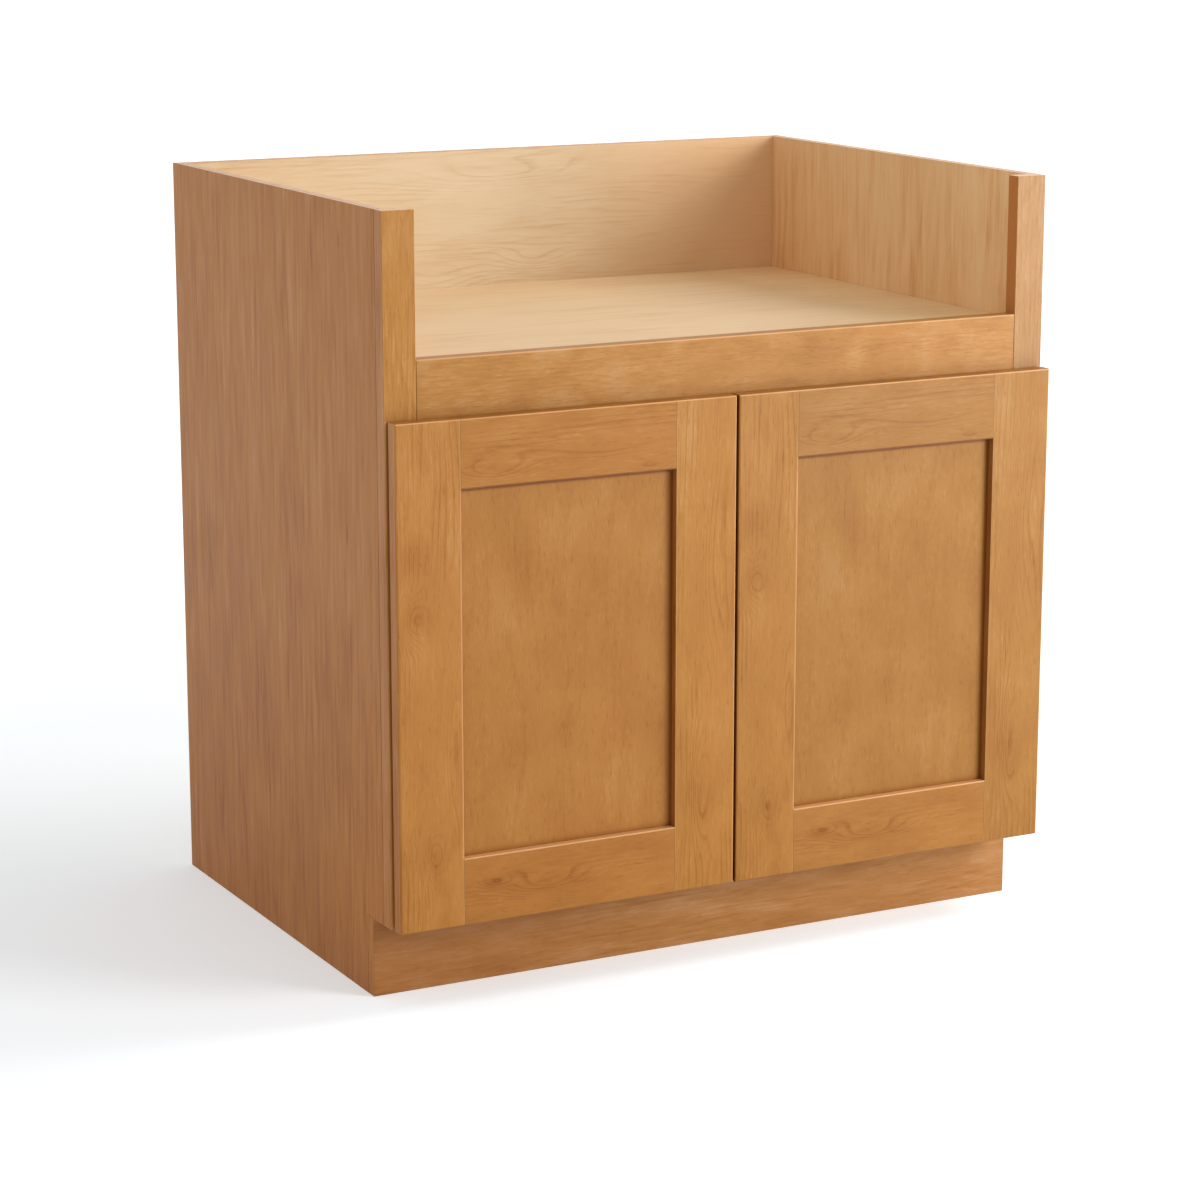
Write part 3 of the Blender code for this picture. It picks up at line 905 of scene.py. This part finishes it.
def lathe(profile, turns):
    """A closed body from (radius, height) points turned about Z; the first and last lie on the axis."""
    bm = bmesh.new()
    first = bm.verts.new((0, 0, profile[0][1]))
    last = bm.verts.new((0, 0, profile[-1][1]))
    angles = [2 * math.pi * i / turns for i in range(turns)]
    rows = []
    for radius, height in profile[1:-1]:
        rows.append([bm.verts.new((radius * math.cos(a), radius * math.sin(a), height)) for a in angles])
    for i in range(turns):
        j = (i + 1) % turns
        bm.faces.new((first, rows[0][i], rows[0][j]))
        bm.faces.new((last, rows[-1][j], rows[-1][i]))
        for upper, lower in zip(rows, rows[1:]):
            bm.faces.new((upper[i], lower[i], lower[j], upper[j]))
    bmesh.ops.recalc_face_normals(bm, faces=bm.faces[:])
    return bm


def cross_prism(arm, half_width, low, high):
    """A plus-shaped prism that tapers towards its foot."""
    outline = []
    for turn in range(4):
        cos, sin = math.cos(turn * math.pi / 2), math.sin(turn * math.pi / 2)
        for x, y in ((arm, -half_width), (arm, half_width), (half_width, half_width)):
            outline.append((x * cos - y * sin, x * sin + y * cos))
    bm = bmesh.new()
    top = [bm.verts.new((x, y, high)) for x, y in outline]
    foot = [bm.verts.new((x * recess_taper, y * recess_taper, low)) for x, y in outline]
    bm.faces.new(top)
    bm.faces.new(list(reversed(foot)))
    for i in range(len(outline)):
        j = (i + 1) % len(outline)
        bm.faces.new((top[i], foot[i], foot[j], top[j]))
    bmesh.ops.recalc_face_normals(bm, faces=bm.faces[:])
    return bm


def screw_mesh():
    """A small round-headed screw with a cross recess; its head's underside lies at Z 0."""
    body = object_from("screw blank", lathe(screw_profile, screw_turns))
    tool = object_from("screw recess", cross_prism(*recess_size))
    cut = body.modifiers.new("recess", "BOOLEAN")
    cut.operation = "DIFFERENCE"
    cut.solver = "EXACT"
    cut.object = tool
    mesh = bpy.data.meshes.new_from_object(body.evaluated_get(bpy.context.evaluated_depsgraph_get()))
    for obj in (body, tool):
        bpy.data.objects.remove(obj, do_unlink=True)
    return mesh


def add_screw(name, mesh, place, facing, turn, body, material):
    """One screw at a place, its head facing along a vector."""
    tilt = facing.to_track_quat("Z", "Y").to_matrix().to_4x4()
    own = mesh.copy()
    own.transform(Matrix.Translation(place) @ tilt @ Matrix.Rotation(turn, 4, "Z"))
    own.materials.clear()
    own.materials.append(material)
    screw = bpy.data.objects.new(name, own)
    bpy.context.collection.objects.link(screw)
    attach(screw, body)


def hinges():
    """Metal for the hinges, and the screws that hold their wings and plates."""
    steel = metal("hinge_steel")
    screw_steel = metal("screw_steel")
    blank = screw_mesh()
    dice = random.Random(screw_seed)
    for door, side in (("left", -1), ("right", 1)):
        for level in ("lower", "upper"):
            hinge = f"{door}_{level}_hinge"
            for piece in ("cup", "pin", "arm"):
                dress(f"{hinge}_{piece}", steel)
            low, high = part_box(f"{hinge}_cup")
            x = (low[0] + high[0]) / 2 - side * wing_offset
            for word, z in (("low", low[2] + wing_inset), ("high", high[2] - wing_inset)):
                add_screw(f"{hinge}_cup_{word}_screw", blank, Vector((x, high[1], z)), Vector((0, 1, 0)),
                          dice.uniform(0, math.pi), f"{door}_door", screw_steel)
            low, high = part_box(f"{hinge}_arm")
            x = high[0] if side < 0 else low[0]
            middle = (low[2] + high[2]) / 2
            for word, rise in (("low", -plate_hole_rise), ("high", plate_hole_rise)):
                place = Vector((x, high[1] - plate_hole_inset, middle + rise))
                add_screw(f"{hinge}_plate_{word}_screw", blank, place, Vector((-side, 0, 0)),
                          dice.uniform(0, math.pi), "cabinet", screw_steel)


def bumpers():
    """Rubber for the doors' bumpers."""
    clear = rubber("bumper_rubber")
    for door in ("left", "right"):
        for level in ("lower", "upper"):
            dress(f"{door}_door_{level}_bumper", clear)


def seen_share(nodes, links):
    """1 for rays from the camera, and for those that gloss and glass send on."""
    path = nodes.new("ShaderNodeLightPath")
    share = path.outputs["Is Camera Ray"]
    for name in ("Is Glossy Ray", "Is Transmission Ray"):
        larger = nodes.new("ShaderNodeMath")
        larger.operation = "MAXIMUM"
        links.new(share, larger.inputs[0])
        links.new(path.outputs[name], larger.inputs[1])
        share = larger.outputs[0]
    return share


def room():
    """Plain light from all round, and white where it is seen."""
    world = bpy.data.worlds.new("room")
    world.use_nodes = True
    nodes, links = world.node_tree.nodes, world.node_tree.links
    light = nodes["Background"]
    light.inputs["Color"].default_value = grey(1.0)
    light.inputs["Strength"].default_value = room_strength
    white = nodes.new("ShaderNodeBackground")
    white.inputs["Color"].default_value = grey(1.0)
    white.inputs["Strength"].default_value = seen_strength
    mix = nodes.new("ShaderNodeMixShader")
    links.new(seen_share(nodes, links), mix.inputs[0])
    links.new(light.outputs[0], mix.inputs[1])
    links.new(white.outputs[0], mix.inputs[2])
    links.new(mix.outputs[0], nodes["World Output"].inputs["Surface"])
    bpy.context.scene.world = world


def floor():
    """A pale floor that keeps the shadow and turns white away from the cabinet."""
    bm = bmesh.new()
    bmesh.ops.create_circle(bm, cap_ends=True, segments=floor_sides, radius=floor_radius)
    obj = object_from("floor", bm)
    graph = Graph("floor")
    nodes, links = graph.nodes, graph.material.node_tree.links
    nodes.remove(graph.shader)
    plain = nodes.new("ShaderNodeBsdfDiffuse")
    plain.inputs["Color"].default_value = floor_colour
    white = nodes.new("ShaderNodeEmission")
    white.inputs["Color"].default_value = floor_glow
    away = graph.step(graph.length(graph.point), *floor_fade, *floor_white)
    links.new(graph.math("MULTIPLY", seen_share(nodes, links), away), white.inputs["Strength"])
    both = nodes.new("ShaderNodeAddShader")
    links.new(plain.outputs[0], both.inputs[0])
    links.new(white.outputs[0], both.inputs[1])
    links.new(both.outputs[0], nodes["Material Output"].inputs["Surface"])
    obj.data.materials.append(graph.material)


def heading(angle, rise):
    """A direction from the cabinet: turned from its front to its right, and up."""
    return Vector((math.sin(angle) * math.cos(rise), -math.cos(angle) * math.cos(rise), math.sin(rise)))


def aim(obj, place, target):
    """Put a lamp or a camera at a place, looking at a target."""
    obj.location = place
    obj.rotation_euler = (target - place).to_track_quat("-Z", "Y").to_euler()
    bpy.context.collection.objects.link(obj)


def lamp(name, angle, rise, size, power):
    """A soft round lamp."""
    light = bpy.data.lights.new(name, "AREA")
    light.shape = "DISK"
    light.size = size
    light.energy = power
    aim(bpy.data.objects.new(name, light), lamp_aim + lamp_distance * heading(angle, rise), lamp_aim)


def camera():
    """The camera of the photograph's view."""
    lens = bpy.data.cameras.new("camera")
    lens.lens = camera_lens
    lens.sensor_width = camera_sensor
    lens.clip_end = camera_reach
    obj = bpy.data.objects.new("camera", lens)
    aim(obj, look_at + camera_distance * heading(-camera_heading, camera_tilt), look_at)
    bpy.context.scene.camera = obj


side_panels()
back_panel()
bare_boards()
face_frame()
doors()
hinges()
bumpers()
room()
floor()
for values in lamps:
    lamp(*values)
camera()
bpy.context.scene.view_settings.view_transform = "Standard"
